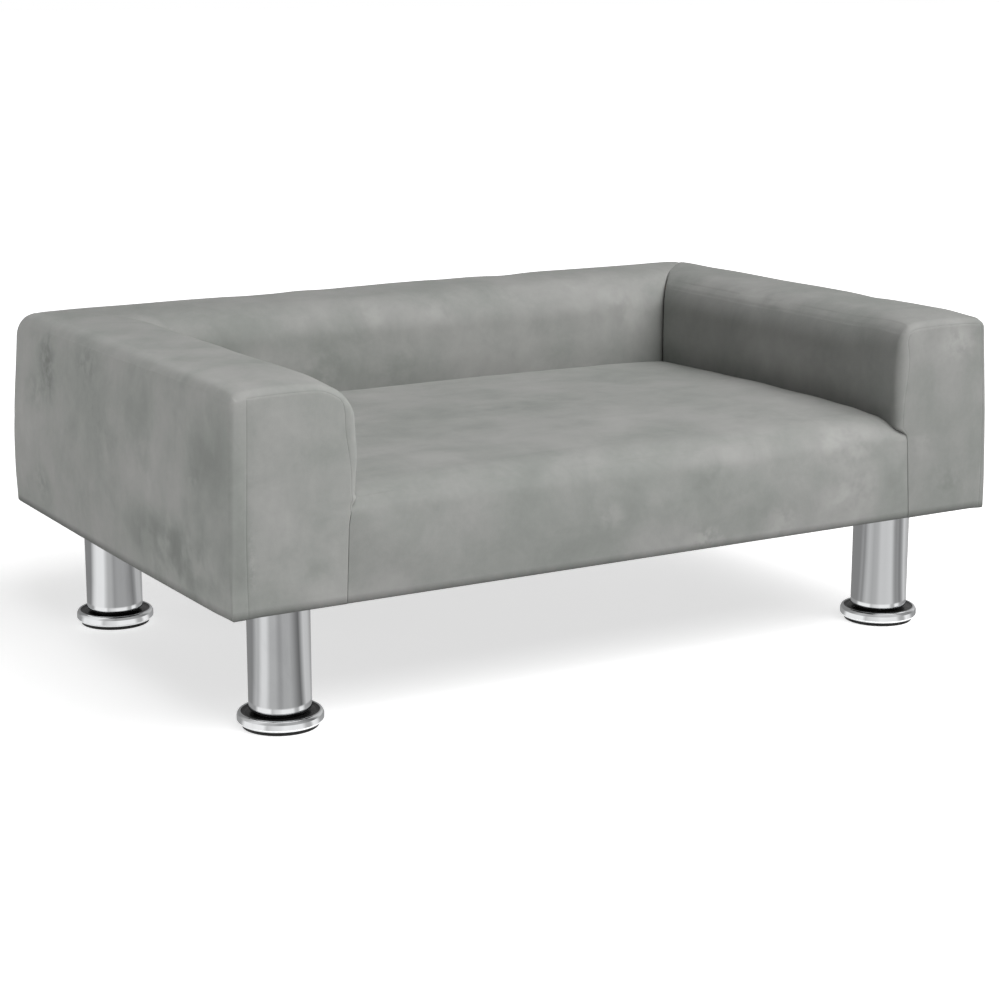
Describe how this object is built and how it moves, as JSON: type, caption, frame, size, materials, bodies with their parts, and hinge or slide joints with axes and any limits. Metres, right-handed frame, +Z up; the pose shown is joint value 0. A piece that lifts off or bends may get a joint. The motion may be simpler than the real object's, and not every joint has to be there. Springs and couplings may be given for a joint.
{
  "type": "dog sofa bed",
  "caption": "Low rectangular pet sofa with padded arms and back around a crowned seat, on chrome tube legs with levelling feet.",
  "frame": {"origin": "on the floor, under the middle of the sofa's bounding box", "axes": "+X along the sofa's length to its right as seen from the front, +Y from the front to the back, +Z up"},
  "size_m": [0.7088, 0.4568, 0.2703],
  "materials": {
    "velvet": "brushed plush velvet",
    "foam": "open-cell foam",
    "timber": "sawn pine",
    "plywood": "thin plywood",
    "dust_cover": "black non-woven",
    "steel": "zinc plated",
    "chrome": "polished chrome",
    "black_plastic": "moulded black",
    "glide_rubber": "matt black"
  },
  "bodies": {
    "root": {"base_front_rail": "timber", "base_rear_rail": "timber", "base_left_rail": "timber", "base_right_rail": "timber", "base_centre_rail": "timber", "corner_block_front_left": "timber", "corner_block_front_right": "timber", "corner_block_rear_left": "timber", "corner_block_rear_right": "timber", "seat_deck": "plywood", "back_outer_board": "plywood", "back_inner_board": "plywood", "back_top_board": "plywood", "left_arm_outer_board": "plywood", "left_arm_inner_board": "plywood", "left_arm_top_board": "plywood", "left_arm_front_board": "plywood", "right_arm_outer_board": "plywood", "right_arm_inner_board": "plywood", "right_arm_top_board": "plywood", "right_arm_front_board": "plywood", "back_foam": "foam", "seat_foam": "foam", "left_arm_foam": "foam", "right_arm_foam": "foam", "back_cover": "velvet", "seat_cover": "velvet", "left_arm_cover": "velvet", "left_arm_front_panel": "velvet", "right_arm_cover": "velvet", "right_arm_front_panel": "velvet", "dust_cover": "dust_cover", "staples": "steel", "frame_screws": "steel", "leg_screws": "steel", "threaded_inserts": "steel", "mount_plate_front_left": "steel", "mount_plate_front_right": "steel", "mount_plate_rear_left": "steel", "mount_plate_rear_right": "steel", "leg_tube_front_left": "chrome", "leg_tube_front_right": "chrome", "leg_tube_rear_left": "chrome", "leg_tube_rear_right": "chrome"},
    "foot_glide_front_left": {"foot_pad_front_left": "glide_rubber"},
    "foot_screw_front_left": {"foot_stud_front_left": "steel", "foot_core_front_left": "black_plastic", "foot_rim_front_left": "chrome"},
    "foot_glide_front_right": {"foot_pad_front_right": "glide_rubber"},
    "foot_screw_front_right": {"foot_stud_front_right": "steel", "foot_core_front_right": "black_plastic", "foot_rim_front_right": "chrome"},
    "foot_glide_rear_left": {"foot_pad_rear_left": "glide_rubber"},
    "foot_screw_rear_left": {"foot_stud_rear_left": "steel", "foot_core_rear_left": "black_plastic", "foot_rim_rear_left": "chrome"},
    "foot_glide_rear_right": {"foot_pad_rear_right": "glide_rubber"},
    "foot_screw_rear_right": {"foot_stud_rear_right": "steel", "foot_core_rear_right": "black_plastic", "foot_rim_rear_right": "chrome"}
  },
  "joints": [
    {"name": "foot_lower_front_left", "type": "slide", "parent": "root", "child": "foot_glide_front_left", "axis": [0, 0, -1], "range_m": [0, 0.009]},
    {"name": "foot_turn_front_left", "type": "hinge", "parent": "foot_glide_front_left", "child": "foot_screw_front_left", "pos_m": [-0.29, -0.1665, 0.008], "axis": [0, 0, -1], "range_deg": [0, 2160]},
    {"name": "foot_lower_front_right", "type": "slide", "parent": "root", "child": "foot_glide_front_right", "axis": [0, 0, -1], "range_m": [0, 0.009]},
    {"name": "foot_turn_front_right", "type": "hinge", "parent": "foot_glide_front_right", "child": "foot_screw_front_right", "pos_m": [0.29, -0.1665, 0.008], "axis": [0, 0, -1], "range_deg": [0, 2160]},
    {"name": "foot_lower_rear_left", "type": "slide", "parent": "root", "child": "foot_glide_rear_left", "axis": [0, 0, -1], "range_m": [0, 0.009]},
    {"name": "foot_turn_rear_left", "type": "hinge", "parent": "foot_glide_rear_left", "child": "foot_screw_rear_left", "pos_m": [-0.29, 0.1665, 0.008], "axis": [0, 0, -1], "range_deg": [0, 2160]},
    {"name": "foot_lower_rear_right", "type": "slide", "parent": "root", "child": "foot_glide_rear_right", "axis": [0, 0, -1], "range_m": [0, 0.009]},
    {"name": "foot_turn_rear_right", "type": "hinge", "parent": "foot_glide_rear_right", "child": "foot_screw_rear_right", "pos_m": [0.29, 0.1665, 0.008], "axis": [0, 0, -1], "range_deg": [0, 2160]}
  ],
  "couplings": [
    {"joint": "foot_lower_front_left", "follows": "foot_turn_front_left", "m_per_rad": 0.00023873},
    {"joint": "foot_lower_front_right", "follows": "foot_turn_front_right", "m_per_rad": 0.00023873},
    {"joint": "foot_lower_rear_left", "follows": "foot_turn_rear_left", "m_per_rad": 0.00023873},
    {"joint": "foot_lower_rear_right", "follows": "foot_turn_rear_right", "m_per_rad": 0.00023873}
  ]
}
